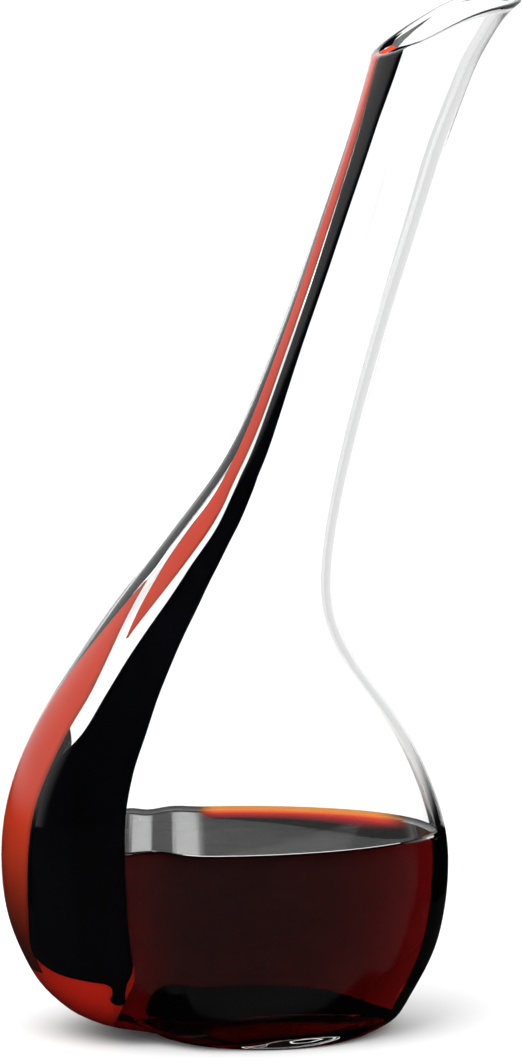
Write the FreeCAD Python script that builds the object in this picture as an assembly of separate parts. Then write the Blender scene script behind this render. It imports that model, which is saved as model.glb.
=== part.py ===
"""Wine decanter: one blown crystal vessel with coloured glass stripes cased in its wall.

Frame: millimetres, +Z up, the pouring lip towards +X and the striped back towards -X.
The origin is at the bottom centre of the whole object's box, on the surface it stands on.
"""
import FreeCAD, Part
import math
import os

V = FreeCAD.Vector

# ---------------------------------------------------------------- driving dimensions
SIZES = {
    "base_thickness": 3.8,      # glass under the bowl
    "bowl_corner": 9.0,         # round between the bowl's floor and its wall
    "fill_level": 76.0,         # height of the wine's surface
    "punt_radius": 31.0,        # hollow under the foot, inside the flat ring it stands on
    "punt_height": 1.5,
    "waist_depth": 0.20,        # dent between the bulb and the lobe, as a share of the half depth
    "waist_place": -45.0,
    "waist_width": 10.0,
    "waist_low": 70.0,          # the dent is full below this height and gone above the next one
    "waist_high": 140.0,
    "stripe_top": 0.15,         # depth of the stripes in the wall, as shares of its thickness
    "stripe_bottom": 0.52,
    "fan_top": 0.44,
    "fan_bottom": 0.74,
    "model_top": 396.0,         # the outline is carried up to here before the lip is cut
}

# Every table below goes into the spreadsheet, one cell for each number.
# The outline: at each height, how far its back and front reach, and half its depth.
OUTLINE = [
    ("height", "back", "front", "side"),
    (0.0, -41.5, 41.5, 41.5),
    (2.0, -47.0, 46.5, 42.5),
    (4.0, -58.0, 50.5, 43.5),
    (7.0, -68.5, 53.5, 45.0),
    (12.0, -76.5, 56.5, 46.5),
    (19.0, -83.5, 60.5, 48.0),
    (28.0, -89.0, 65.0, 49.2),
    (42.0, -94.8, 69.0, 50.2),
    (58.0, -97.9, 70.9, 50.6),
    (75.0, -98.1, 70.0, 50.4),
    (91.0, -95.5, 65.5, 49.4),
    (107.0, -90.0, 58.5, 47.2),
    (125.0, -80.8, 47.6, 43.6),
    (142.0, -69.9, 35.6, 39.4),
    (159.0, -58.3, 28.3, 34.8),
    (176.0, -45.4, 27.4, 30.5),
    (195.0, -30.6, 29.9, 26.8),
    (216.0, -15.5, 34.3, 23.8),
    (244.0, -1.7, 41.5, 21.8),
    (278.0, 11.6, 51.3, 20.6),
    (312.0, 23.5, 61.9, 20.1),
    (336.0, 31.7, 69.5, 20.3),
    (356.0, 37.8, 76.8, 21.4),
    (368.0, 41.2, 81.8, 23.2),
    (378.0, 44.0, 87.4, 25.0),
    (386.0, 46.5, 93.4, 26.0),
    (390.0, 47.8, 97.9, 26.3),
    (396.0, 49.8, 105.0, 26.5),
]

# Thickness of the wall, which thins towards the fire-polished lip.
WALL = [
    ("height", "thickness"),
    (0.0, 3.6),
    (325.0, 3.6),
    (360.0, 2.9),
    (396.0, 1.9),
]

# The lip, seen from the side: the mouth is cut along this curve.
LIP = [
    ("along", "height"),
    (40.0, 368.4),
    (50.0, 373.6),
    (61.4, 379.6),
    (72.0, 385.2),
    (82.0, 388.8),
    (92.0, 390.2),
    (104.0, 390.4),
]

# The stripes run up the back. Their edges are angles in degrees round a section, from the back
# towards -Y. The two black ones mirror each other about the middle of the ribbon.
BLACK = [
    ("height", "middle", "inner", "outer"),
    (17.0, 6.5, 41.5, 44.5),
    (18.5, 6.5, 40.5, 46.5),
    (22.0, 6.5, 43.0, 48.0),
    (24.0, 6.5, 43.5, 49.0),
    (25.5, 6.5, 41.5, 49.7),
    (26.3, 6.5, 29.0, 50.3),
    (28.0, 6.5, 19.5, 51.5),
    (31.0, 6.5, 13.0, 53.0),
    (34.0, 6.5, 10.5, 53.6),
    (45.0, 6.5, 15.0, 54.2),
    (60.0, 6.5, 19.2, 54.5),
    (88.0, 7.0, 19.4, 53.5),
    (105.0, 9.0, 19.8, 52.0),
    (120.0, 15.0, 22.5, 47.5),
    (134.0, 20.0, 20.5, 43.8),
    (149.0, 25.5, 18.2, 40.8),
    (164.0, 30.0, 17.8, 38.5),
    (179.0, 34.5, 15.2, 33.8),
    (194.0, 32.5, 18.8, 34.6),
    (209.0, 32.0, 14.0, 31.0),
    (216.0, 31.5, 11.8, 28.6),
    (238.0, 27.0, 11.4, 27.8),
    (260.0, 23.7, 11.6, 27.0),
    (297.0, 19.5, 12.2, 30.0),
    (343.0, 13.3, 12.6, 36.0),
    (366.0, 8.0, 13.0, 44.0),
    (396.0, 6.0, 13.0, 46.0),
]

RED_UPPER = [
    ("height", "far", "near"),
    (154.0, 35.8, 36.2),
    (164.0, 32.2, 39.6),
    (172.0, 29.6, 42.0),
    (186.0, 25.8, 45.2),
    (194.0, 25.4, 46.2),
    (202.0, 27.0, 44.8),
    (210.0, 25.6, 40.6),
    (216.0, 23.4, 38.4),
    (238.0, 18.2, 34.8),
    (260.0, 15.0, 31.0),
    (297.0, 10.6, 29.2),
    (343.0, 3.7, 22.4),
    (366.0, -2.0, 17.6),
    (396.0, -4.0, 16.0),
]

RED_LOWER = [
    ("height", "far", "near"),
    (26.0, -12.0, 17.5),
    (34.0, -12.0, 17.8),
    (45.0, -12.0, 22.0),
    (65.0, -12.0, 24.8),
    (88.0, -11.8, 25.6),
    (105.0, -10.0, 27.6),
    (120.0, -6.5, 29.6),
    (134.0, 0.6, 31.6),
    (141.0, 3.8, 31.0),
    (149.0, 8.2, 29.6),
    (157.0, 11.8, 27.2),
    (164.0, 15.0, 24.6),
    (173.5, 19.4, 20.2),
]

# Under the lobe the lower red stripe spreads out as a fan beneath the ends of the black ones.
RED_FAN = [
    ("height", "far", "near"),
    (6.0, -34.0, 27.0),
    (12.0, -42.0, 44.0),
    (20.0, -46.0, 54.5),
    (27.0, -48.0, 59.5),
    (32.0, -47.5, 60.5),
]

TABLES = {
    "outline": OUTLINE,
    "wall": WALL,
    "lip": LIP,
    "black": BLACK,
    "red_upper": RED_UPPER,
    "red_lower": RED_LOWER,
    "red_fan": RED_FAN,
}

OUTLINE_POINTS = 56             # points round a section
BAND_POINTS = 13                # points across a stripe
TAPER = 0.8                     # degrees: the least width of a stripe at a pointed end
FAR = 150.0                     # beyond the vessel on every side, for the blocks that trim it


# ---------------------------------------------------------------- the spreadsheet
def column_letters(number):
    """Spreadsheet column name for 0, 1, 2 ..."""
    letters = ""
    number += 1
    while number:
        number, rest = divmod(number - 1, 26)
        letters = chr(65 + rest) + letters
    return letters


def fill_sheet(sheet):
    """Single sizes in columns A and B, then one block of columns for each table."""
    for row, (name, value) in enumerate(SIZES.items(), start=1):
        sheet.set(f"A{row}", name)
        sheet.set(f"B{row}", str(value))
        sheet.setAlias(f"B{row}", name)
    column = 3
    for table, rows in TABLES.items():
        for offset, heading in enumerate(rows[0]):
            letters = column_letters(column + offset)
            sheet.set(f"{letters}1", f"{table} {heading}")
            for number, row in enumerate(rows[1:], start=1):
                cell = f"{letters}{number + 1}"
                sheet.set(cell, str(row[offset]))
                sheet.setAlias(cell, f"{table}_{heading}_{number:02d}")
        column += len(rows[0]) + 1


def read_column(sheet, table, heading):
    """The numbers of one table column, as the sheet holds them."""
    count = len(TABLES[table]) - 1
    return [float(sheet.get(f"{table}_{heading}_{number:02d}")) for number in range(1, count + 1)]


# ---------------------------------------------------------------- curves through the tables
def natural_spline(places, values):
    """The natural cubic spline through the points, as a function."""
    last = len(places) - 1
    steps = [places[i + 1] - places[i] for i in range(last)]
    slopes = [(values[i + 1] - values[i]) / steps[i] for i in range(last)]
    bends = [0.0] * (last + 1)
    factors = [0.0] * (last + 1)
    for i in range(1, last):
        pivot = 2.0 * (steps[i - 1] + steps[i]) - steps[i - 1] * factors[i - 1]
        factors[i] = steps[i] / pivot
        bends[i] = (6.0 * (slopes[i] - slopes[i - 1]) - steps[i - 1] * bends[i - 1]) / pivot
    for i in range(last - 1, 0, -1):
        bends[i] -= factors[i] * bends[i + 1]

    def curve(place):
        i = 0
        while i < last - 1 and place > places[i + 1]:
            i += 1
        ahead = places[i + 1] - place
        behind = place - places[i]
        cubic = (bends[i] * ahead ** 3 + bends[i + 1] * behind ** 3) / (6.0 * steps[i])
        start = (values[i] / steps[i] - bends[i] * steps[i] / 6.0) * ahead
        end = (values[i + 1] / steps[i] - bends[i + 1] * steps[i] / 6.0) * behind
        return cubic + start + end

    return curve


def steady_spline(places, values):
    """A cubic curve through the points that never swings past them, as a function."""
    last = len(places) - 1
    steps = [places[i + 1] - places[i] for i in range(last)]
    slopes = [(values[i + 1] - values[i]) / steps[i] for i in range(last)]
    tangents = [slopes[0]] + [0.0] * (last - 1) + [slopes[-1]]
    for i in range(1, last):
        if slopes[i - 1] * slopes[i] > 0:
            before = 2.0 * steps[i] + steps[i - 1]
            after = steps[i] + 2.0 * steps[i - 1]
            tangents[i] = (before + after) / (before / slopes[i - 1] + after / slopes[i])

    def curve(place):
        i = 0
        while i < last - 1 and place > places[i + 1]:
            i += 1
        part = min(max((place - places[i]) / steps[i], 0.0), 1.0)
        rise = part * part * (3.0 - 2.0 * part)
        leave = part * (1.0 - part) ** 2
        arrive = part * part * (part - 1.0)
        turn = steps[i] * (leave * tangents[i] + arrive * tangents[i + 1])
        return values[i] * (1.0 - rise) + values[i + 1] * rise + turn

    return curve


class Shape:
    """The vessel's outer surface, worked out from the sheet."""

    def __init__(self, sheet):
        heights = read_column(sheet, "outline", "height")
        self.back = natural_spline(heights, read_column(sheet, "outline", "back"))
        self.front = natural_spline(heights, read_column(sheet, "outline", "front"))
        self.side = natural_spline(heights, read_column(sheet, "outline", "side"))
        self.wall = steady_spline(
            read_column(sheet, "wall", "height"), read_column(sheet, "wall", "thickness"))
        self.size = {name: float(sheet.get(name)) for name in SIZES}

    def waist(self, height, along):
        """How much of the half depth is left where the near side is dented."""
        low = self.size["waist_low"]
        high = self.size["waist_high"]
        part = min(max((high - height) / (high - low), 0.0), 1.0)
        fade = part * part * (3.0 - 2.0 * part)
        distance = (along - self.size["waist_place"]) / self.size["waist_width"]
        return 1.0 - self.size["waist_depth"] * fade * math.exp(-distance * distance)

    def point(self, height, angle):
        """A point of the outer surface, at an angle in degrees from the back towards -Y."""
        back = self.back(height)
        front = self.front(height)
        turn = math.radians(angle)
        along = (back + front) / 2.0 - (front - back) / 2.0 * math.cos(turn)
        across = -self.side(height) * math.sin(turn)
        if across < 0:
            across *= self.waist(height, along)
        return V(along, across, height)

    def inset(self, height, angle, depth):
        """The point that deep below the outer surface, at the same height."""
        step_angle = 0.5
        step_height = 0.2
        around = self.point(height, angle + step_angle) - self.point(height, angle - step_angle)
        low = max(height - step_height, 0.0)
        upwards = self.point(height + step_height, angle) - self.point(low, angle)
        normal = around.cross(upwards).normalize()
        level = V(normal.x, normal.y, 0)
        if level.dot(V(-math.cos(math.radians(angle)), -math.sin(math.radians(angle)), 0)) < 0:
            level = -level
        lean = max(level.Length, 0.2)
        return self.point(height, angle) - level.normalize() * (depth / lean)


def loop_wire(points):
    """A smooth closed wire through the points."""
    curve = Part.BSplineCurve()
    curve.interpolate(points, PeriodicFlag=True)
    return Part.Wire([curve.toShape()])


def open_edge(points):
    curve = Part.BSplineCurve()
    curve.interpolate(points)
    return curve.toShape()


def spread(low, high, step):
    """Even heights from low to high, about a step apart."""
    count = max(2, round((high - low) / step))
    return [low + (high - low) * i / count for i in range(count + 1)]


# ---------------------------------------------------------------- solids
def outer_solid(shape):
    """The filled outline of the vessel, carried up past the lip."""
    top = shape.size["model_top"]
    heights = [0.0, 1.0, 2.0, 3.0, 4.0, 5.5] + spread(7.0, 19.0, 2.4) + spread(23.0, top, 8.0)
    wires = []
    for height in heights:
        angles = [360.0 * i / OUTLINE_POINTS for i in range(OUTLINE_POINTS)]
        wires.append(loop_wire([shape.point(height, angle) for angle in angles]))
    return Part.makeLoft(wires, True, True)


def bowl_solid(shape):
    """The space inside the vessel, from the bowl's floor up past the lip."""
    floor = shape.size["base_thickness"]
    corner = shape.size["bowl_corner"]
    top = shape.size["model_top"]
    rounds = [corner * (1.0 - math.cos(math.radians(turn))) for turn in (0, 15, 30, 45, 60, 75, 90)]
    heights = [floor + rise for rise in rounds] + spread(floor + corner + 5.0, top, 8.0)
    wires = []
    for height in heights:
        left = max(corner - (height - floor), 0.0)
        extra = corner - math.sqrt(corner * corner - left * left)
        points = []
        for i in range(OUTLINE_POINTS):
            angle = 360.0 * i / OUTLINE_POINTS
            inner = shape.inset(height, angle, shape.wall(height))
            centre = V((shape.back(height) + shape.front(height)) / 2.0, 0, height)
            points.append(inner + (centre - inner).normalize() * extra)
        wires.append(loop_wire(points))
    return Part.makeLoft(wires, True, True)


def above_lip(sheet):
    """Everything above the mouth, as a block with the lip's curve for its underside."""
    along = read_column(sheet, "lip", "along")
    height = read_column(sheet, "lip", "height")
    slope = (height[1] - height[0]) / (along[1] - along[0])
    top = height[-1] + FAR
    curve = open_edge([V(x, -FAR, z) for x, z in zip(along, height)])
    start = V(-FAR, -FAR, height[0] - (along[0] + FAR) * slope)
    end = V(FAR, -FAR, height[-1])
    corners = [end, V(FAR, -FAR, top), V(-FAR, -FAR, top), start]
    edges = [Part.LineSegment(start, curve.Vertexes[0].Point).toShape(), curve]
    edges.append(Part.LineSegment(curve.Vertexes[-1].Point, end).toShape())
    edges += [Part.LineSegment(a, b).toShape() for a, b in zip(corners, corners[1:])]
    return Part.Face(Part.Wire(edges)).extrude(V(0, 2 * FAR, 0))


def punt(shape):
    """The shallow round hollow under the foot, which leaves a flat ring to stand on."""
    radius = shape.size["punt_radius"]
    height = shape.size["punt_height"]
    ball = (radius * radius + height * height) / (2.0 * height)
    return Part.makeSphere(ball, V(0, 0, height - ball), V(0, 0, 1), -90, 90, 360)


def band_solid(shape, heights, far, near, top_share, bottom_share):
    """A strip of glass inside the wall, between two edge angles that change with height."""
    wires = []
    for height in heights:
        start = far(height)
        width = max(near(height) - start, TAPER)
        angles = [start + width * i / (BAND_POINTS - 1) for i in range(BAND_POINTS)]
        wall = shape.wall(height)
        outer = [shape.inset(height, angle, wall * top_share) for angle in angles]
        inner = [shape.inset(height, angle, wall * bottom_share) for angle in reversed(angles)]
        edges = [open_edge(outer), Part.LineSegment(outer[-1], inner[0]).toShape()]
        edges += [open_edge(inner), Part.LineSegment(inner[-1], outer[0]).toShape()]
        wires.append(Part.Wire(edges))
    return Part.makeLoft(wires, True, True)


def black_band(shape, sheet, side):
    """One black stripe: side is 1 for the right one, towards -Y, and -1 for the left one."""
    heights = read_column(sheet, "black", "height")
    middle = steady_spline(heights, read_column(sheet, "black", "middle"))
    inner = steady_spline(heights, read_column(sheet, "black", "inner"))
    outer = steady_spline(heights, read_column(sheet, "black", "outer"))
    if side > 0:
        far = lambda height: middle(height) + inner(height)
        near = lambda height: middle(height) + outer(height)
    else:
        far = lambda height: middle(height) - outer(height)
        near = lambda height: middle(height) - inner(height)
    levels = [heights[0]] + spread(18.5, 34.0, 1.3) + spread(40.0, heights[-1], 7.0)
    share = shape.size
    return band_solid(shape, levels, far, near, share["stripe_top"], share["stripe_bottom"])


def red_band(shape, sheet, table, step, top_share, bottom_share):
    heights = read_column(sheet, table, "height")
    far = steady_spline(heights, read_column(sheet, table, "far"))
    near = steady_spline(heights, read_column(sheet, table, "near"))
    levels = spread(heights[0], heights[-1], step)
    return band_solid(shape, levels, far, near, top_share, bottom_share)


def red_lower_band(shape, sheet):
    share = shape.size
    stem = red_band(
        shape, sheet, "red_lower", 6.0, share["stripe_top"], share["stripe_bottom"])
    fan = red_band(shape, sheet, "red_fan", 2.0, share["fan_top"], share["fan_bottom"])
    return stem.fuse(fan)


# ---------------------------------------------------------------- the document
def add_piece(document, label, solid):
    piece = document.addObject("Part::Feature", label)
    piece.Label = label
    piece.Shape = solid
    piece.Placement = FreeCAD.Placement()
    return piece


def build(document):
    sheet = document.addObject("Spreadsheet::Sheet", "sizes")
    fill_sheet(sheet)
    document.recompute()
    shape = Shape(sheet)
    share = shape.size

    lip_block = above_lip(sheet)
    bowl = bowl_solid(shape)
    stripes = {
        "black_stripe_right": black_band(shape, sheet, 1),
        "black_stripe_left": black_band(shape, sheet, -1),
        "red_stripe_upper": red_band(
            shape, sheet, "red_upper", 6.0, share["stripe_top"], share["stripe_bottom"]),
        "red_stripe_lower": red_lower_band(shape, sheet),
    }
    pieces = []
    vessel = outer_solid(shape).cut(bowl)
    vessel = vessel.cut(punt(shape))
    vessel = vessel.cut(lip_block)
    for label, band in stripes.items():
        trimmed = band.cut(lip_block)
        vessel = vessel.cut(trimmed)
        pieces.append(add_piece(document, label, trimmed.Solids[0]))
    pieces.append(add_piece(document, "crystal_vessel", vessel.Solids[0]))
    wine_block = Part.makeBox(2 * FAR, 2 * FAR, share["fill_level"], V(-FAR, -FAR, 0))
    pieces.append(add_piece(document, "red_wine", bowl.common(wine_block).Solids[0]))
    return pieces


def check(document, pieces):
    document.recompute()
    for item in document.Objects:
        if "Invalid" in item.State or "Error" in item.State:
            raise RuntimeError(f"{item.Label} failed: {item.State}")
    for piece in pieces:
        if piece.Shape.isNull() or not piece.Shape.isValid():
            raise RuntimeError(f"{piece.Label} has no valid shape")
        box = piece.Shape.optimalBoundingBox(False, False)
        print(f"{piece.Label}: {piece.Shape.Volume / 1000:.1f} ml, "
              f"x {box.XMin:.2f} {box.XMax:.2f}, y {box.YMin:.2f} {box.YMax:.2f}, "
              f"z {box.ZMin:.2f} {box.ZMax:.2f}")


def main():
    document = FreeCAD.newDocument("decanter")
    pieces = build(document)
    check(document, pieces)
    os.makedirs("parts", exist_ok=True)
    for piece in pieces:
        piece.Shape.exportStep(f"parts/{piece.Label}.step")


main()
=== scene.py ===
import math

import bpy
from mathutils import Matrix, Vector


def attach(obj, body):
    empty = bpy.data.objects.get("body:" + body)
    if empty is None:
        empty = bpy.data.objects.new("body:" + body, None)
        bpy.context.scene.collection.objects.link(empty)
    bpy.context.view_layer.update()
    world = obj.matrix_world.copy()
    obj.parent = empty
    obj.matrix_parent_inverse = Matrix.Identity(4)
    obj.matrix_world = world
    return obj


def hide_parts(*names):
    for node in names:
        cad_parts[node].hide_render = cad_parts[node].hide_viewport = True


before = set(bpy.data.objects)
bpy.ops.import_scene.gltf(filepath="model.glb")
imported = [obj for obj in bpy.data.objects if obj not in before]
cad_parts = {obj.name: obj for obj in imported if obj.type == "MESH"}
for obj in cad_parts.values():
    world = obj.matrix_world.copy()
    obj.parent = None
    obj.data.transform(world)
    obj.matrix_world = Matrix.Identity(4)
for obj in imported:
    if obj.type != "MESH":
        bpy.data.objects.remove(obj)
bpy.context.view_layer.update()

MM = 0.001

# ---------------------------------------------------------------- the vessel's dimensions
# All in millimetres, as the CAD part has them.
FLOOR_LEVEL = 3.8
CORNER = 9.0
FILL_LEVEL = 76.0
PUNT_RADIUS = 31.0
PUNT_HEIGHT = 1.5
WAIST_DEPTH = 0.20
WAIST_PLACE = -45.0
WAIST_WIDTH = 10.0
WAIST_LOW = 70.0
WAIST_HIGH = 140.0
# depth of the stripes in the wall, as shares of its thickness
STRIPE_TOP = 0.12
STRIPE_BOTTOM = 0.52
FAN_TOP = 0.56
FAN_BOTTOM = 0.78
# the wine's surface, taken as an ellipse
SURFACE_MIDDLE = -14.0
SURFACE_REACH = 80.5
SURFACE_SIDE = 46.8

# height, how far the back and the front reach, half the depth
OUTLINE = [
    (0.0, -41.5, 41.5, 41.5), (2.0, -47.0, 46.5, 42.5), (4.0, -58.0, 50.5, 43.5),
    (7.0, -68.5, 53.5, 45.0), (12.0, -76.5, 56.5, 46.5), (19.0, -83.5, 60.5, 48.0),
    (28.0, -89.0, 65.0, 49.2), (42.0, -94.8, 69.0, 50.2), (58.0, -97.9, 70.9, 50.6),
    (75.0, -98.1, 70.0, 50.4), (91.0, -95.5, 65.5, 49.4), (107.0, -90.0, 58.5, 47.2),
    (125.0, -80.8, 47.6, 43.6), (142.0, -69.9, 35.6, 39.4), (159.0, -58.3, 28.3, 34.8),
    (176.0, -45.4, 27.4, 30.5), (195.0, -30.6, 29.9, 26.8), (216.0, -15.5, 34.3, 23.8),
    (244.0, -1.7, 41.5, 21.8), (278.0, 11.6, 51.3, 20.6), (312.0, 23.5, 61.9, 20.1),
    (336.0, 31.7, 69.5, 20.3), (356.0, 37.8, 76.8, 21.4), (368.0, 41.2, 81.8, 23.2),
    (378.0, 44.0, 87.4, 25.0), (386.0, 46.5, 93.4, 26.0), (390.0, 47.8, 97.9, 26.3),
    (396.0, 49.8, 105.0, 26.5),
]
WALL = [(0.0, 3.6), (325.0, 3.6), (360.0, 2.9), (396.0, 1.9)]
LIP = [
    (40.0, 368.4), (50.0, 373.6), (61.4, 379.6), (72.0, 385.2), (82.0, 388.8), (92.0, 390.2),
    (104.0, 390.4),
]

# height, middle of the ribbon, inner and outer edge of a black stripe, in degrees round a section
BLACK = [
    (17.0, 6.5, 41.5, 44.5), (18.5, 6.5, 40.5, 46.5), (22.0, 6.5, 43.0, 48.0),
    (24.0, 6.5, 43.5, 49.0), (25.5, 6.5, 41.5, 49.7), (26.3, 6.5, 29.0, 50.3),
    (28.0, 6.5, 19.5, 51.5), (31.0, 6.5, 13.0, 53.0), (34.0, 6.5, 10.5, 53.6),
    (45.0, 6.5, 15.0, 54.2), (60.0, 6.5, 19.2, 54.5),
    (88.0, 7.0, 19.4, 53.5),
    (105.0, 9.0, 19.8, 52.0), (120.0, 15.0, 22.5, 47.5), (134.0, 20.0, 20.5, 43.8),
    (149.0, 25.5, 18.2, 40.8), (164.0, 30.0, 17.8, 38.5), (179.0, 34.5, 15.2, 33.8),
    (194.0, 32.5, 18.8, 34.6), (209.0, 32.0, 14.0, 31.0), (216.0, 31.5, 11.8, 28.6),
    (238.0, 27.0, 11.4, 27.8), (260.0, 23.7, 11.6, 27.0), (297.0, 19.5, 12.2, 30.0),
    (343.0, 13.3, 12.6, 36.0), (366.0, 8.0, 13.0, 44.0), (396.0, 6.0, 13.0, 46.0),
]
# height, far edge, near edge
RED_UPPER = [
    (154.0, 35.8, 36.2), (164.0, 32.2, 39.6), (172.0, 29.6, 42.0), (186.0, 25.8, 45.2),
    (194.0, 25.4, 46.2), (202.0, 27.0, 44.8), (210.0, 25.6, 40.6), (216.0, 23.4, 38.4),
    (238.0, 18.2, 34.8), (260.0, 15.0, 31.0), (297.0, 10.6, 29.2), (343.0, 3.7, 22.4),
    (366.0, -2.0, 17.6), (396.0, -4.0, 16.0),
]
RED_LOWER = [
    (26.0, -12.0, 17.5), (34.0, -12.0, 17.8), (45.0, -12.0, 22.0),
    (65.0, -12.0, 24.8), (88.0, -11.8, 25.6),
    (105.0, -10.0, 27.6), (120.0, -6.5, 29.6), (134.0, 0.6, 31.6), (141.0, 3.8, 31.0),
    (149.0, 8.2, 29.6), (157.0, 11.8, 27.2), (164.0, 15.0, 24.6), (173.5, 19.4, 20.2),
]
RED_FAN = [
    (6.0, -34.0, 27.0), (12.0, -42.0, 44.0), (20.0, -46.0, 54.5),
    (27.0, -48.0, 59.5), (32.0, -47.5, 60.5),
]

# ---------------------------------------------------------------- curves through the tables


def natural_spline(places, values):
    """The natural cubic spline through the points, as a function."""
    last = len(places) - 1
    steps = [places[i + 1] - places[i] for i in range(last)]
    slopes = [(values[i + 1] - values[i]) / steps[i] for i in range(last)]
    bends = [0.0] * (last + 1)
    factors = [0.0] * (last + 1)
    for i in range(1, last):
        pivot = 2.0 * (steps[i - 1] + steps[i]) - steps[i - 1] * factors[i - 1]
        factors[i] = steps[i] / pivot
        bends[i] = (6.0 * (slopes[i] - slopes[i - 1]) - steps[i - 1] * bends[i - 1]) / pivot
    for i in range(last - 1, 0, -1):
        bends[i] -= factors[i] * bends[i + 1]

    def curve(place):
        i = 0
        while i < last - 1 and place > places[i + 1]:
            i += 1
        ahead = places[i + 1] - place
        behind = place - places[i]
        cubic = (bends[i] * ahead ** 3 + bends[i + 1] * behind ** 3) / (6.0 * steps[i])
        start = (values[i] / steps[i] - bends[i] * steps[i] / 6.0) * ahead
        end = (values[i + 1] / steps[i] - bends[i + 1] * steps[i] / 6.0) * behind
        return cubic + start + end

    return curve


def steady_spline(places, values):
    """A cubic curve through the points that never swings past them, as a function."""
    last = len(places) - 1
    steps = [places[i + 1] - places[i] for i in range(last)]
    slopes = [(values[i + 1] - values[i]) / steps[i] for i in range(last)]
    tangents = [slopes[0]] + [0.0] * (last - 1) + [slopes[-1]]
    for i in range(1, last):
        if slopes[i - 1] * slopes[i] > 0:
            before = 2.0 * steps[i] + steps[i - 1]
            after = steps[i] + 2.0 * steps[i - 1]
            tangents[i] = (before + after) / (before / slopes[i - 1] + after / slopes[i])

    def curve(place):
        i = 0
        while i < last - 1 and place > places[i + 1]:
            i += 1
        part = min(max((place - places[i]) / steps[i], 0.0), 1.0)
        rise = part * part * (3.0 - 2.0 * part)
        leave = part * (1.0 - part) ** 2
        arrive = part * part * (part - 1.0)
        turn = steps[i] * (leave * tangents[i] + arrive * tangents[i + 1])
        return values[i] * (1.0 - rise) + values[i + 1] * rise + turn

    return curve


def columns(table):
    return [list(column) for column in zip(*table)]


HEIGHTS, BACKS, FRONTS, SIDES = columns(OUTLINE)
back_at = natural_spline(HEIGHTS, BACKS)
front_at = natural_spline(HEIGHTS, FRONTS)
side_at = natural_spline(HEIGHTS, SIDES)
wall_at = steady_spline(*columns(WALL))
lip_at = natural_spline(*columns(LIP))

# ---------------------------------------------------------------- the vessel's surfaces


def smooth_part(value):
    """0 below 0, 1 above 1, and a smooth rise between."""
    part = min(max(value, 0.0), 1.0)
    return part * part * (3.0 - 2.0 * part)


def outer_point(height, angle):
    """A point of the outer surface, at an angle in degrees from the back towards -Y."""
    back = back_at(height)
    front = front_at(height)
    turn = math.radians(angle)
    along = (back + front) / 2.0 - (front - back) / 2.0 * math.cos(turn)
    across = -side_at(height) * math.sin(turn)
    if across < 0:
        fade = smooth_part((WAIST_HIGH - height) / (WAIST_HIGH - WAIST_LOW))
        distance = (along - WAIST_PLACE) / WAIST_WIDTH
        across *= 1.0 - WAIST_DEPTH * fade * math.exp(-distance * distance)
    return Vector((along, across, height))


def inset_point(height, angle, depth):
    """The point that deep below the outer surface, at the same height."""
    around = outer_point(height, angle + 0.5) - outer_point(height, angle - 0.5)
    upwards = outer_point(height + 0.2, angle) - outer_point(max(height - 0.2, 0.0), angle)
    normal = around.cross(upwards).normalized()
    level = Vector((normal.x, normal.y, 0.0))
    turn = math.radians(angle)
    if level.dot(Vector((-math.cos(turn), -math.sin(turn), 0.0))) < 0:
        level = -level
    lean = max(level.length, 0.2)
    return outer_point(height, angle) - level.normalized() * (depth / lean)


def lip_height(angle, depth_share):
    """The height at which a column of the wall meets the lip's curve."""
    low = 340.0
    high = 395.0
    for _ in range(30):
        middle = (low + high) / 2.0
        place = inset_point(middle, angle, wall_at(middle) * depth_share)
        if middle < lip_at(place.x):
            low = middle
        else:
            high = middle
    return low


# ---------------------------------------------------------------- mesh building


def grid_faces(rows, count, closed, first=0):
    """Quads between rows of points, each row count points long."""
    faces = []
    around = count if closed else count - 1
    for row in range(rows - 1):
        for i in range(around):
            j = (i + 1) % count
            low = first + row * count
            high = low + count
            faces.append((low + i, low + j, high + j, high + i))
    return faces


def make_piece(name, points, faces, material, nodes, second=None, is_second=None):
    mesh = bpy.data.meshes.new(name)
    mesh.from_pydata([point * MM for point in points], [], faces)
    mesh.validate()
    for polygon in mesh.polygons:
        polygon.use_smooth = True
    mesh.materials.append(material)
    if second:
        mesh.materials.append(second)
        for polygon in mesh.polygons:
            polygon.material_index = 1 if is_second(polygon) else 0
    piece = bpy.data.objects.new(name, mesh)
    bpy.context.scene.collection.objects.link(piece)
    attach(piece, "root")
    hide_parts(*nodes)
    return piece


def capped_rings(rings):
    """One closed skin from a stack of rings, with a fan of triangles at each end."""
    count = len(rings[0])
    points = [point for ring in rings for point in ring]
    faces = grid_faces(len(rings), count, True)
    for ring, order in ((0, -1), (len(rings) - 1, 1)):
        centre = len(points)
        points.append(sum(rings[ring], Vector()) / count)
        start = ring * count
        for i in range(count):
            edge = (start + i, start + (i + 1) % count)
            faces.append((edge[0], edge[1], centre)[::order])
    return points, faces


AROUND = 256
ANGLES = [360.0 * i / AROUND for i in range(AROUND)]
STRAIGHT_TOP = 325.0


def level_list(low, high, step):
    count = max(1, round((high - low) / step))
    return [low + (high - low) * i / count for i in range(count + 1)]


def bowl_ring(height, swell=0.0):
    """A ring of the bowl's inner wall; swell moves it outwards, into the glass."""
    left = max(CORNER - (height - FLOOR_LEVEL), 0.0)
    extra = CORNER - math.sqrt(CORNER * CORNER - left * left)
    centre = Vector(((back_at(height) + front_at(height)) / 2.0, 0.0, height))
    ring = []
    for angle in ANGLES:
        inner = inset_point(height, angle, wall_at(height) - swell)
        ring.append(inner + (centre - inner).normalized() * extra)
    return ring


def corner_levels():
    """Heights round the bowl's lower corner, close together where it is flat."""
    return [FLOOR_LEVEL + CORNER * (1.0 - math.cos(math.radians(turn))) for turn in range(0, 91, 10)]


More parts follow.
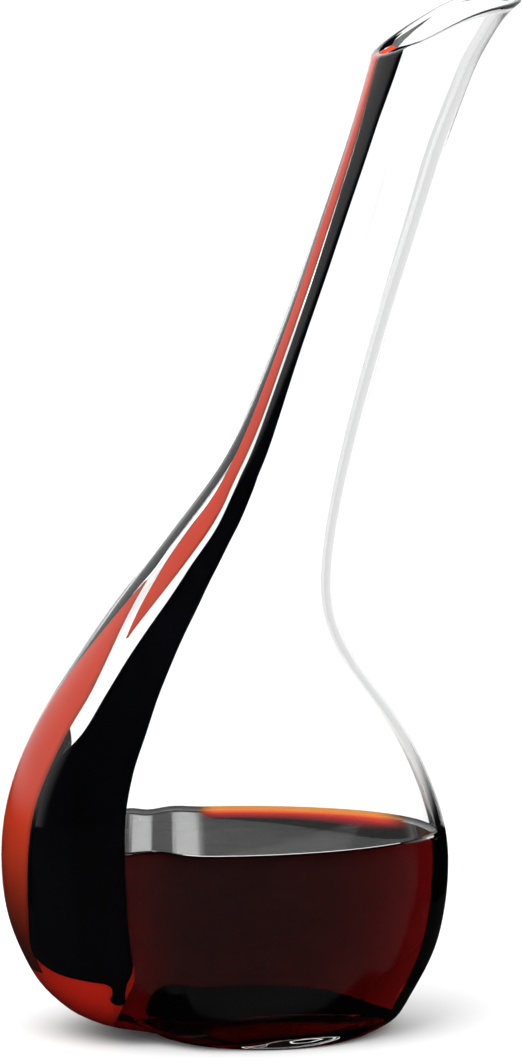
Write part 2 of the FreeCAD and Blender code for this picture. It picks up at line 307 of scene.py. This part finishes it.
def shrunk(ring, share, lift=0.0):
    """The ring drawn in towards its middle."""
    middle = sum(ring, Vector()) / len(ring)
    return [middle.lerp(point, share) + Vector((0.0, 0.0, lift)) for point in ring]


def foot_rings():
    """From the middle of the punt out to the foot's rounded edge."""
    ball = (PUNT_RADIUS ** 2 + PUNT_HEIGHT ** 2) / (2.0 * PUNT_HEIGHT)
    profile = []
    for radius in (4.0, 10.0, 16.0, 22.0, 27.0, 30.0, PUNT_RADIUS):
        depth = math.sqrt(ball ** 2 - radius ** 2) - (ball - PUNT_HEIGHT)
        profile.append((radius, max(depth, 0.0)))
    profile += [(PUNT_RADIUS + 0.8, 0.0), (36.0, 0.0), (40.0, 0.0), (40.9, 0.08), (41.4, 0.3)]
    rings = []
    for radius, height in profile:
        ring = []
        for angle in ANGLES:
            turn = math.radians(angle)
            ring.append(Vector((-radius * math.cos(turn), -radius * math.sin(turn), height)))
        rings.append(ring)
    return rings


def wall_rings(depth_share, low_levels, ease):
    """Rings of the outer (0) or inner (1) face of the wall, up to just under the lip."""
    rings = [[inset_point(h, angle, wall_at(h) * depth_share) for angle in ANGLES] for h in low_levels]
    tops = [lip_height(angle, depth_share) - ease for angle in ANGLES]
    upper_rows = 34
    for row in range(1, upper_rows + 1):
        part = row / upper_rows
        ring = []
        for angle, top in zip(ANGLES, tops):
            height = STRAIGHT_TOP + (top - STRAIGHT_TOP) * part
            ring.append(inset_point(height, angle, wall_at(height) * depth_share))
        rings.append(ring)
    return rings


def vessel_points():
    ease = 0.8
    outer_levels = [0.8, 1.4, 2.0, 2.7, 3.4, 4.2, 5.0, 6.0, 7.2, 8.6] + level_list(10.0, STRAIGHT_TOP, 2.5)
    outer = wall_rings(0.0, outer_levels, ease)
    floor = [shrunk(bowl_ring(FLOOR_LEVEL), share) for share in (0.1, 0.35, 0.6, 0.8, 0.93)]
    bowl = [bowl_ring(height) for height in corner_levels()]
    bowl_levels = level_list(FLOOR_LEVEL + CORNER + 2.0, STRAIGHT_TOP, 2.5)
    inner = wall_rings(1.0, bowl_levels, ease)
    rim = []
    for turn in (30, 60, 90, 120, 150):
        part = (1.0 - math.cos(math.radians(turn))) / 2.0
        lift = Vector((0.0, 0.0, ease * math.sin(math.radians(turn))))
        rim.append([a.lerp(b, part) + lift for a, b in zip(outer[-1], inner[-1])])
    return foot_rings() + outer + rim + inner[::-1] + bowl[::-1] + floor[::-1]


def wine_rings():
    """The wine reaches a little way into the glass, so that no film of air is left between."""
    swell = 0.25
    meniscus = 1.3
    floor = [shrunk(bowl_ring(FLOOR_LEVEL, swell), share, -swell) for share in (0.1, 0.4, 0.7, 0.9)]
    walls = [bowl_ring(height, swell) for height in corner_levels()]
    walls += [bowl_ring(height, swell) for height in level_list(FLOOR_LEVEL + CORNER + 2.0, FILL_LEVEL, 2.5)]
    edge = bowl_ring(FILL_LEVEL, swell)
    middle = sum(edge, Vector()) / len(edge)
    top = []
    for inward in (0.0, 0.3, 0.7, 1.2, 1.8, 2.6, 3.6, 5.0, 8.0, 14.0, 24.0):
        lift = meniscus * math.exp(-inward / 1.1)
        ring = [p + (middle - p).normalized() * inward + Vector((0.0, 0.0, lift - meniscus)) for p in edge]
        top.append(ring)
    walls = [ring for ring in walls if ring[0].z < FILL_LEVEL - 0.5]
    centre = [shrunk(top[-1], share) for share in (0.6, 0.3, 0.1)]
    return floor + walls + top + centre


def band(levels, far, near, top_share=STRIPE_TOP, bottom_share=STRIPE_BOTTOM):
    """A strip inside the wall, with its long edges rounded."""
    across = 16
    rings = []
    for height in levels:
        start = far(height)
        width = max(near(height) - start, 0.6)
        wall = wall_at(height)
        middle = (top_share + bottom_share) / 2.0
        ring = []
        for face, order in ((top_share, 1), (bottom_share, -1)):
            for i in range(across + 1)[::order]:
                part = i / across
                edge = min(part, 1.0 - part) * across
                share = middle + (face - middle) * min(1.0, 0.45 + 0.55 * edge)
                ring.append(inset_point(height, start + width * part, wall * share))
        rings.append(ring)
    return capped_rings(rings)


def lip_trimmed(points):
    """Points above the lip are brought down to just under it."""
    trimmed = []
    for point in points:
        top = lip_at(point.x) - 0.35
        if point.z > top:
            point = Vector((point.x, point.y, top))
        trimmed.append(point)
    return trimmed


# ---------------------------------------------------------------- materials
GLASS_IOR = 1.52
WINE_IOR = 1.34
WINE_DENSITY = 130.0
# how far out from the middle of the surface, and what colour
EDGE_GLOW = [
    (0.0, (0.0, 0.0, 0.0)), (1.0, (0.75, 0.30, 0.03)), (0.62, (0.0, 0.0, 0.0)),
    (0.78, (0.35, 0.01, 0.015)), (0.90, (0.75, 0.06, 0.03)), (0.95, (0.80, 0.14, 0.03)),
]
RED_DARK = (0.92, 0.085, 0.03, 1.0)
RED_LIGHT = (0.99, 0.115, 0.05, 1.0)
# painted shade: the deep brown that the long red stripes are darkened to low down
RED_PAINTED_SHADE = (0.11, 0.012, 0.006, 1.0)
RED_BRIGHT = (1.0, 0.04, 0.02, 1.0)


def new_material(name):
    material = bpy.data.materials.new(name)
    material.use_nodes = True
    return material, material.node_tree.nodes, material.node_tree.links


def set_shader(nodes, **sockets):
    shader = nodes["Principled BSDF"]
    for name, value in sockets.items():
        shader.inputs[name.replace("_", " ")].default_value = value
    return shader


def noise_between(nodes, links, scale, low, high, detail=2.0, stretch=(1.0, 1.0, 1.0)):
    """A value that drifts between two limits over the object, from object coordinates."""
    place = nodes.new("ShaderNodeTexCoord")
    mapping = nodes.new("ShaderNodeMapping")
    mapping.inputs["Scale"].default_value = stretch
    noise = nodes.new("ShaderNodeTexNoise")
    noise.inputs["Scale"].default_value = scale
    noise.inputs["Detail"].default_value = detail
    spread = nodes.new("ShaderNodeMapRange")
    spread.inputs["From Min"].default_value = 0.3
    spread.inputs["From Max"].default_value = 0.7
    spread.inputs["To Min"].default_value = low
    spread.inputs["To Max"].default_value = high
    links.new(place.outputs["Object"], mapping.inputs["Vector"])
    links.new(mapping.outputs["Vector"], noise.inputs["Vector"])
    links.new(noise.outputs["Fac"], spread.inputs["Value"])
    return spread.outputs["Result"]


def add_waves(nodes, links, shader, scale, strength):
    """The faint waviness of blown glass, or of a liquid's surface."""
    wave = noise_between(nodes, links, scale, 0.0, 1.0, 1.0, (1.0, 1.0, 0.35))
    bump = nodes.new("ShaderNodeBump")
    bump.inputs["Strength"].default_value = strength
    bump.inputs["Distance"].default_value = 0.002
    links.new(wave, bump.inputs["Height"])
    links.new(bump.outputs["Normal"], shader.inputs["Normal"])


def crystal():
    """Clear crystal with the faint waviness of blown glass."""
    material, nodes, links = new_material("clear_crystal")
    shader = set_shader(
        nodes, Base_Color=(0.985, 0.99, 0.988, 1.0), Roughness=0.0, IOR=GLASS_IOR, Transmission_Weight=1.0)
    add_waves(nodes, links, shader, 14.0, 0.03)
    return material


def wetted_glass():
    """The inside of the bowl below the wine: see-through, as the wine's own skin bends the light."""
    material, nodes, links = new_material("wetted_glass")
    clear = nodes.new("ShaderNodeBsdfTransparent")
    links.new(clear.outputs["BSDF"], nodes["Material Output"].inputs["Surface"])
    return material


def stripe_glass(name, dark, light, roughness):
    """Opaque coloured glass whose colour drifts a little along the stripe."""
    material, nodes, links = new_material(name)
    shader = set_shader(nodes, Roughness=roughness, IOR=1.5, Specular_IOR_Level=0.0)
    drift = noise_between(nodes, links, 40.0, 0.0, 1.0, 3.0, (1.0, 1.0, 0.12))
    mix = nodes.new("ShaderNodeMix")
    mix.data_type = "RGBA"
    mix.inputs["A"].default_value = dark
    mix.inputs["B"].default_value = light
    links.new(drift, mix.inputs["Factor"])
    links.new(mix.outputs["Result"], shader.inputs["Base Color"])
    return material


def red_with_painted_shade(name, low, high):
    """The red of the long stripes, with painted shade: the red is darkened to deep brown low down, under the
    lobe.
    """
    material = stripe_glass(name, RED_DARK, RED_LIGHT, 0.2)
    nodes = material.node_tree.nodes
    links = material.node_tree.links
    place = nodes.new("ShaderNodeTexCoord")
    parts = nodes.new("ShaderNodeSeparateXYZ")
    fade = nodes.new("ShaderNodeMapRange")
    fade.interpolation_type = "SMOOTHSTEP"
    fade.inputs["From Min"].default_value = low * MM
    fade.inputs["From Max"].default_value = high * MM
    # painted shade: the red is mixed towards deep brown from the high height down to the low height, and is
    # wholly deep brown below that
    painted_shade = nodes.new("ShaderNodeMix")
    painted_shade.data_type = "RGBA"
    painted_shade.inputs["A"].default_value = RED_PAINTED_SHADE
    shader = nodes["Principled BSDF"]
    colour = shader.inputs["Base Color"].links[0].from_socket
    links.new(place.outputs["Object"], parts.inputs["Vector"])
    links.new(parts.outputs["Z"], fade.inputs["Value"])
    links.new(fade.outputs["Result"], painted_shade.inputs["Factor"])
    links.new(colour, painted_shade.inputs["B"])
    links.new(painted_shade.outputs["Result"], shader.inputs["Base Color"])
    return material


def add_absorption(nodes, links):
    """Wine swallows green and blue first."""
    absorb = nodes.new("ShaderNodeVolumeAbsorption")
    absorb.inputs["Color"].default_value = (0.60, 0.02, 0.05, 1.0)
    absorb.inputs["Density"].default_value = WINE_DENSITY
    links.new(absorb.outputs["Volume"], nodes["Material Output"].inputs["Volume"])


def range_of(nodes, links, value, low, high):
    """0 where the value is low and 1 where it is high, with a smooth rise between."""
    ramp = nodes.new("ShaderNodeMapRange")
    ramp.interpolation_type = "SMOOTHSTEP"
    ramp.inputs["From Min"].default_value = low
    ramp.inputs["From Max"].default_value = high
    links.new(value, ramp.inputs["Value"])
    return ramp.outputs["Result"]


def add_edge_glow(nodes, links, shader):
    """A painted glow, for the light that comes up through thin wine along the +Y edge."""
    place = nodes.new("ShaderNodeTexCoord")
    parts = nodes.new("ShaderNodeSeparateXYZ")
    rounded = nodes.new("ShaderNodeMapping")
    rounded.inputs["Location"].default_value = (-SURFACE_MIDDLE / SURFACE_REACH, 0.0, 0.0)
    rounded.inputs["Scale"].default_value = (
        1.0 / (SURFACE_REACH * MM), 1.0 / (SURFACE_SIDE * MM), 0.0)
    length = nodes.new("ShaderNodeVectorMath")
    length.operation = "LENGTH"
    links.new(place.outputs["Object"], parts.inputs["Vector"])
    links.new(place.outputs["Object"], rounded.inputs["Vector"])
    links.new(rounded.outputs["Vector"], length.inputs[0])
    ramp = nodes.new("ShaderNodeValToRGB")
    links.new(length.outputs["Value"], ramp.inputs["Fac"])
    stops = ramp.color_ramp.elements
    for index, (spot, colour) in enumerate(EDGE_GLOW):
        if index < 2:
            stop = stops[index]
            stop.position = spot
        else:
            stop = stops.new(spot)
        stop.color = (*colour, 1.0)
    strength = None
    for value, low, high in (
            (parts.outputs["X"], -0.022, -0.012), (parts.outputs["X"], 0.060, 0.046),
            (parts.outputs["Y"], 0.0, 0.02)):
        part = range_of(nodes, links, value, low, high)
        if strength:
            both = nodes.new("ShaderNodeMath")
            both.operation = "MULTIPLY"
            links.new(strength, both.inputs[0])
            links.new(part, both.inputs[1])
            part = both.outputs["Value"]
        strength = part
    links.new(ramp.outputs["Color"], shader.inputs["Emission Color"])
    links.new(strength, shader.inputs["Emission Strength"])


def wine_surface():
    """The wine's free surface, against air."""
    material, nodes, links = new_material("wine_surface")
    shader = set_shader(
        nodes, Base_Color=(1.0, 1.0, 1.0, 1.0), Roughness=0.0, IOR=WINE_IOR, Transmission_Weight=1.0)
    add_waves(nodes, links, shader, 30.0, 0.01)
    add_edge_glow(nodes, links, shader)
    add_absorption(nodes, links)
    return material


def wine_against_glass():
    """The wine's side and underside, where it wets the glass, so that the step in IOR is small."""
    material, nodes, links = new_material("wine_against_glass")
    glass = nodes.new("ShaderNodeBsdfGlass")
    glass.inputs["Roughness"].default_value = 0.0
    glass.inputs["IOR"].default_value = WINE_IOR / GLASS_IOR
    links.new(glass.outputs["BSDF"], nodes["Material Output"].inputs["Surface"])
    add_absorption(nodes, links)
    return material


# ---------------------------------------------------------------- the pieces


def is_wetted(polygon):
    """Faces of the bowl's inside that lie wholly below the wine's surface."""
    centre = polygon.center / MM
    if centre.z > FILL_LEVEL - 0.6 or centre.z < FLOOR_LEVEL - 0.1:
        return False
    middle = Vector(((back_at(centre.z) + front_at(centre.z)) / 2.0, 0.0, centre.z))
    return polygon.normal.dot(centre - middle) < 0 or polygon.normal.z > 0.9


def is_against_glass(polygon):
    """Faces of the wine other than its free surface and meniscus."""
    return polygon.normal.z < 0.15 or polygon.center.z / MM < FILL_LEVEL - 3.0


def build_pieces():
    black = stripe_glass("black_glass", (0.002, 0.002, 0.003, 1.0), (0.006, 0.006, 0.009, 1.0), 0.1)
    # the red glass carries painted shade, deep brown low down
    red = red_with_painted_shade("red_glass", 28.0, 92.0)
    bright_red = stripe_glass("bright_red_glass", RED_BRIGHT, RED_BRIGHT, 0.2)
    points, faces = capped_rings(vessel_points())
    make_piece(
        "crystal_shell", points, faces, crystal(), ["crystal_vessel"],
        wetted_glass(), is_wetted)
    points, faces = capped_rings(wine_rings())
    make_piece(
        "wine_body", points, faces, wine_surface(), ["red_wine"],
        wine_against_glass(), is_against_glass)

    heights, middles, inners, outers = columns(BLACK)
    middle = steady_spline(heights, middles)
    inner = steady_spline(heights, inners)
    outer = steady_spline(heights, outers)
    levels = level_list(17.0, 34.0, 0.5) + level_list(36.0, 392.0, 2.0)
    right = band(levels, lambda h: middle(h) + inner(h), lambda h: middle(h) + outer(h))
    left = band(levels, lambda h: middle(h) - outer(h), lambda h: middle(h) - inner(h))
    for name, node, (points, faces) in (
            ("right_black", "black_stripe_right", right), ("left_black", "black_stripe_left", left)):
        make_piece(name, lip_trimmed(points), faces, black, [node])

    heights, fars, nears = columns(RED_UPPER)
    levels = level_list(154.0, 392.0, 2.0)
    points, faces = band(levels, steady_spline(heights, fars), steady_spline(heights, nears))
    make_piece("upper_red", lip_trimmed(points), faces, red, ["red_stripe_upper"])
    heights, fars, nears = columns(RED_LOWER)
    levels = level_list(26.0, 173.5, 2.0)
    points, faces = band(levels, steady_spline(heights, fars), steady_spline(heights, nears))
    make_piece("lower_red", points, faces, red, ["red_stripe_lower"])
    heights, fars, nears = columns(RED_FAN)
    levels = level_list(6.0, 32.0, 1.0)
    far = steady_spline(heights, fars)
    near = steady_spline(heights, nears)
    points, faces = band(levels, far, near, FAN_TOP, FAN_BOTTOM)
    make_piece("red_fan", points, faces, bright_red, ["red_stripe_lower"])


# ---------------------------------------------------------------- floor, light and camera
WORLD_GLOW = 1.25
FRONT_GLOW = 0.008
KEY_POWER = 40.0
KEY_SIZE = 2.0
KEY_PLACE = Vector((-0.9, -0.9, 2.2))
KEY_TARGET = Vector((0.0, 0.0, 0.15))
BLACK_CARD_TOP = 0.075
GREY_CARD_START = 0.12
GREY_CARD_GLOW = 0.75
SURFACE_CARD_GLOW = 2.8
SURFACE_CARD_HALF = 0.80
SURFACE_CARD_HEIGHTS = (0.238, 0.30)
SURFACE_CARD_AWAY = 1.0
# where each tone of the surface card, a painted reflection for the wine's surface, stands across it, from 0
# at its left end to 1
SURFACE_TONES = [(0.0, 1.0), (1.0, 0.01), (0.46, 1.0), (0.475, 0.62), (0.53, 0.55), (0.545, 0.04)]


def build_floor():
    half = 6.0
    mesh = bpy.data.meshes.new("floor")
    corners = [(-half, -half, 0.0), (half, -half, 0.0), (half, half, 0.0), (-half, half, 0.0)]
    mesh.from_pydata(corners, [], [(0, 1, 2, 3)])
    floor = bpy.data.objects.new("floor", mesh)
    bpy.context.scene.collection.objects.link(floor)
    material, nodes, _ = new_material("white_floor")
    set_shader(nodes, Base_Color=(0.86, 0.86, 0.86, 1.0), Roughness=0.7, Specular_IOR_Level=0.1)
    mesh.materials.append(material)


def link_mesh(name, corners, material):
    mesh = bpy.data.meshes.new(name)
    mesh.from_pydata(corners, [], [(0, 1, 2, 3)])
    mesh.materials.append(material)
    card = bpy.data.objects.new(name, mesh)
    bpy.context.scene.collection.objects.link(card)
    card.visible_camera = False
    card.visible_diffuse = False
    card.visible_shadow = False
    return card


def side_card_material():
    """Black beside the wine and pale grey beside the neck, to draw the edges of the glass."""
    material, nodes, links = new_material("side_card")
    glow = nodes.new("ShaderNodeEmission")
    place = nodes.new("ShaderNodeTexCoord")
    parts = nodes.new("ShaderNodeSeparateXYZ")
    ramp = nodes.new("ShaderNodeMapRange")
    ramp.interpolation_type = "SMOOTHSTEP"
    ramp.inputs["From Min"].default_value = BLACK_CARD_TOP
    ramp.inputs["From Max"].default_value = GREY_CARD_START
    ramp.inputs["To Min"].default_value = 0.003
    ramp.inputs["To Max"].default_value = GREY_CARD_GLOW
    links.new(place.outputs["Object"], parts.inputs["Vector"])
    links.new(parts.outputs["Z"], ramp.inputs["Value"])
    links.new(ramp.outputs["Result"], glow.inputs["Strength"])
    links.new(glow.outputs["Emission"], nodes["Material Output"].inputs["Surface"])
    return material


def level_sheet(left, front, right, back, height):
    """The corners of a level rectangle."""
    return [(left, front, height), (right, front, height), (right, back, height), (left, back, height)]


def surface_card_material():
    """A glowing card that only the glass and the wine see: the painted reflection on the wine's surface,
    bright over its left half, then a narrow grey band, then dark.
    """
    material, nodes, links = new_material("painted_reflection_card")
    glow = nodes.new("ShaderNodeEmission")
    place = nodes.new("ShaderNodeTexCoord")
    parts = nodes.new("ShaderNodeSeparateXYZ")
    links.new(place.outputs["Object"], parts.inputs["Vector"])
    ramp = nodes.new("ShaderNodeValToRGB")
    spread = nodes.new("ShaderNodeMapRange")
    spread.inputs["From Min"].default_value = -SURFACE_CARD_HALF
    spread.inputs["From Max"].default_value = SURFACE_CARD_HALF
    links.new(parts.outputs["X"], spread.inputs["Value"])
    links.new(spread.outputs["Result"], ramp.inputs["Fac"])
    stops = ramp.color_ramp.elements
    for index, (place_on_card, tone) in enumerate(SURFACE_TONES):
        if index < 2:
            stop = stops[index]
            stop.position = place_on_card
        else:
            stop = stops.new(place_on_card)
        stop.color = (tone, tone, tone, 1.0)
    glow.inputs["Strength"].default_value = SURFACE_CARD_GLOW
    links.new(ramp.outputs["Color"], glow.inputs["Color"])
    links.new(glow.outputs["Emission"], nodes["Material Output"].inputs["Surface"])
    return material


def build_cards():
    """Cards that only the glass and the wine see: at the sides, underneath, in front and behind."""
    material = side_card_material()
    black, nodes, _ = new_material("black_card")
    set_shader(nodes, Base_Color=(0.01, 0.01, 0.01, 1.0), Roughness=1.0, Specular_IOR_Level=0.0)
    for name, side in (("left_card", -1.0), ("right_card", 1.0)):
        far = (side * 0.16, 0.27)
        near = (side * 0.24, -0.02)
        corners = [(*far, 0.0), (*near, 0.0), (*near, 0.5), (*far, 0.5)]
        link_mesh(name, corners, material)
        outline = ((0.07, -0.03), (0.24, -0.03), (0.16, 0.27), (0.05, 0.07))
        corners = [(side * x, y, 0.0008) for x, y in outline]
        link_mesh(name + "_foot", corners, black)
    card = link_mesh("front_card", level_sheet(-6.0, -6.0, 6.0, 0.06, 0.0003), black)
    card.visible_transmission = False
    # painted shade: a black card under the foot, seen only by the glass, in place of the floor's shadow
    # under the base
    link_mesh("foot_shade_card", level_sheet(-0.085, -0.055, 0.085, 0.056, 0.0001), black)
    # painted shade: black strips round the back of the foot, seen only by the glass, so that no white floor
    # shows through the clear base
    strip = ((0.078, -0.01), (0.072, 0.03), (0.045, 0.06), (0.0, 0.07), (-0.04, 0.066), (-0.075, 0.055))
    for number, (a, b) in enumerate(zip(strip, strip[1:])):
        link_mesh(f"shade_strip_{number}", [(*a, 0.0), (*b, 0.0), (*b, 0.012), (*a, 0.012)], black)
    # a glowing card that only the glass and the wine see, which paints the reflection on the wine's surface
    half = SURFACE_CARD_HALF
    low, high = SURFACE_CARD_HEIGHTS
    away = SURFACE_CARD_AWAY
    corners = [(-half, away, low), (half, away, low), (half, away, high), (-half, away, high)]
    link_mesh("painted_reflection_card", corners, surface_card_material())


def build_world():
    """A white studio. Reflections of the space in front are dark, as in a blacked-out room."""
    world = bpy.data.worlds.new("studio")
    bpy.context.scene.world = world
    world.use_nodes = True
    nodes = world.node_tree.nodes
    links = world.node_tree.links
    place = nodes.new("ShaderNodeTexCoord")
    parts = nodes.new("ShaderNodeSeparateXYZ")
    front = nodes.new("ShaderNodeMapRange")
    front.inputs["From Min"].default_value = 0.15
    front.inputs["From Max"].default_value = -0.15
    path = nodes.new("ShaderNodeLightPath")
    both = nodes.new("ShaderNodeMath")
    both.operation = "MULTIPLY"
    dim = nodes.new("ShaderNodeMapRange")
    dim.inputs["To Min"].default_value = WORLD_GLOW
    dim.inputs["To Max"].default_value = FRONT_GLOW
    links.new(place.outputs["Generated"], parts.inputs["Vector"])
    links.new(parts.outputs["Y"], front.inputs["Value"])
    links.new(front.outputs["Result"], both.inputs[0])
    links.new(path.outputs["Is Glossy Ray"], both.inputs[1])
    links.new(both.outputs["Value"], dim.inputs["Value"])
    links.new(dim.outputs["Result"], nodes["Background"].inputs["Strength"])
    nodes["Background"].inputs["Color"].default_value = (1.0, 1.0, 1.0, 1.0)


def build_lights():
    """A large soft light high on the left, which fills the red glass."""
    lamp = bpy.data.lights.new("key", "AREA")
    lamp.shape = "RECTANGLE"
    lamp.size = KEY_SIZE
    lamp.size_y = KEY_SIZE
    lamp.energy = KEY_POWER
    light = bpy.data.objects.new("key", lamp)
    light.location = KEY_PLACE
    light.rotation_euler = (KEY_TARGET - light.location).to_track_quat("-Z", "Y").to_euler()
    light.visible_glossy = False
    bpy.context.scene.collection.objects.link(light)


def build_camera():
    azimuth = math.radians(-6.0)
    elevation = math.radians(10.0)
    distance = 4.5
    width_seen = 0.19575
    target = Vector((0.0, 0.0, 0.190))
    out = Vector((
        math.sin(azimuth) * math.cos(elevation),
        -math.cos(azimuth) * math.cos(elevation),
        math.sin(elevation)))
    camera = bpy.data.objects.new("camera", bpy.data.cameras.new("camera"))
    camera.data.sensor_fit = "HORIZONTAL"
    camera.data.sensor_width = 36.0
    camera.data.lens = 36.0 * distance / width_seen
    camera.data.clip_end = 100.0
    camera.location = target + out * distance
    camera.rotation_euler = (-out).to_track_quat("-Z", "Y").to_euler()
    bpy.context.scene.collection.objects.link(camera)
    bpy.context.scene.camera = camera


build_pieces()
build_floor()
build_world()
build_cards()
build_lights()
build_camera()
bpy.context.scene.view_settings.view_transform = "Standard"
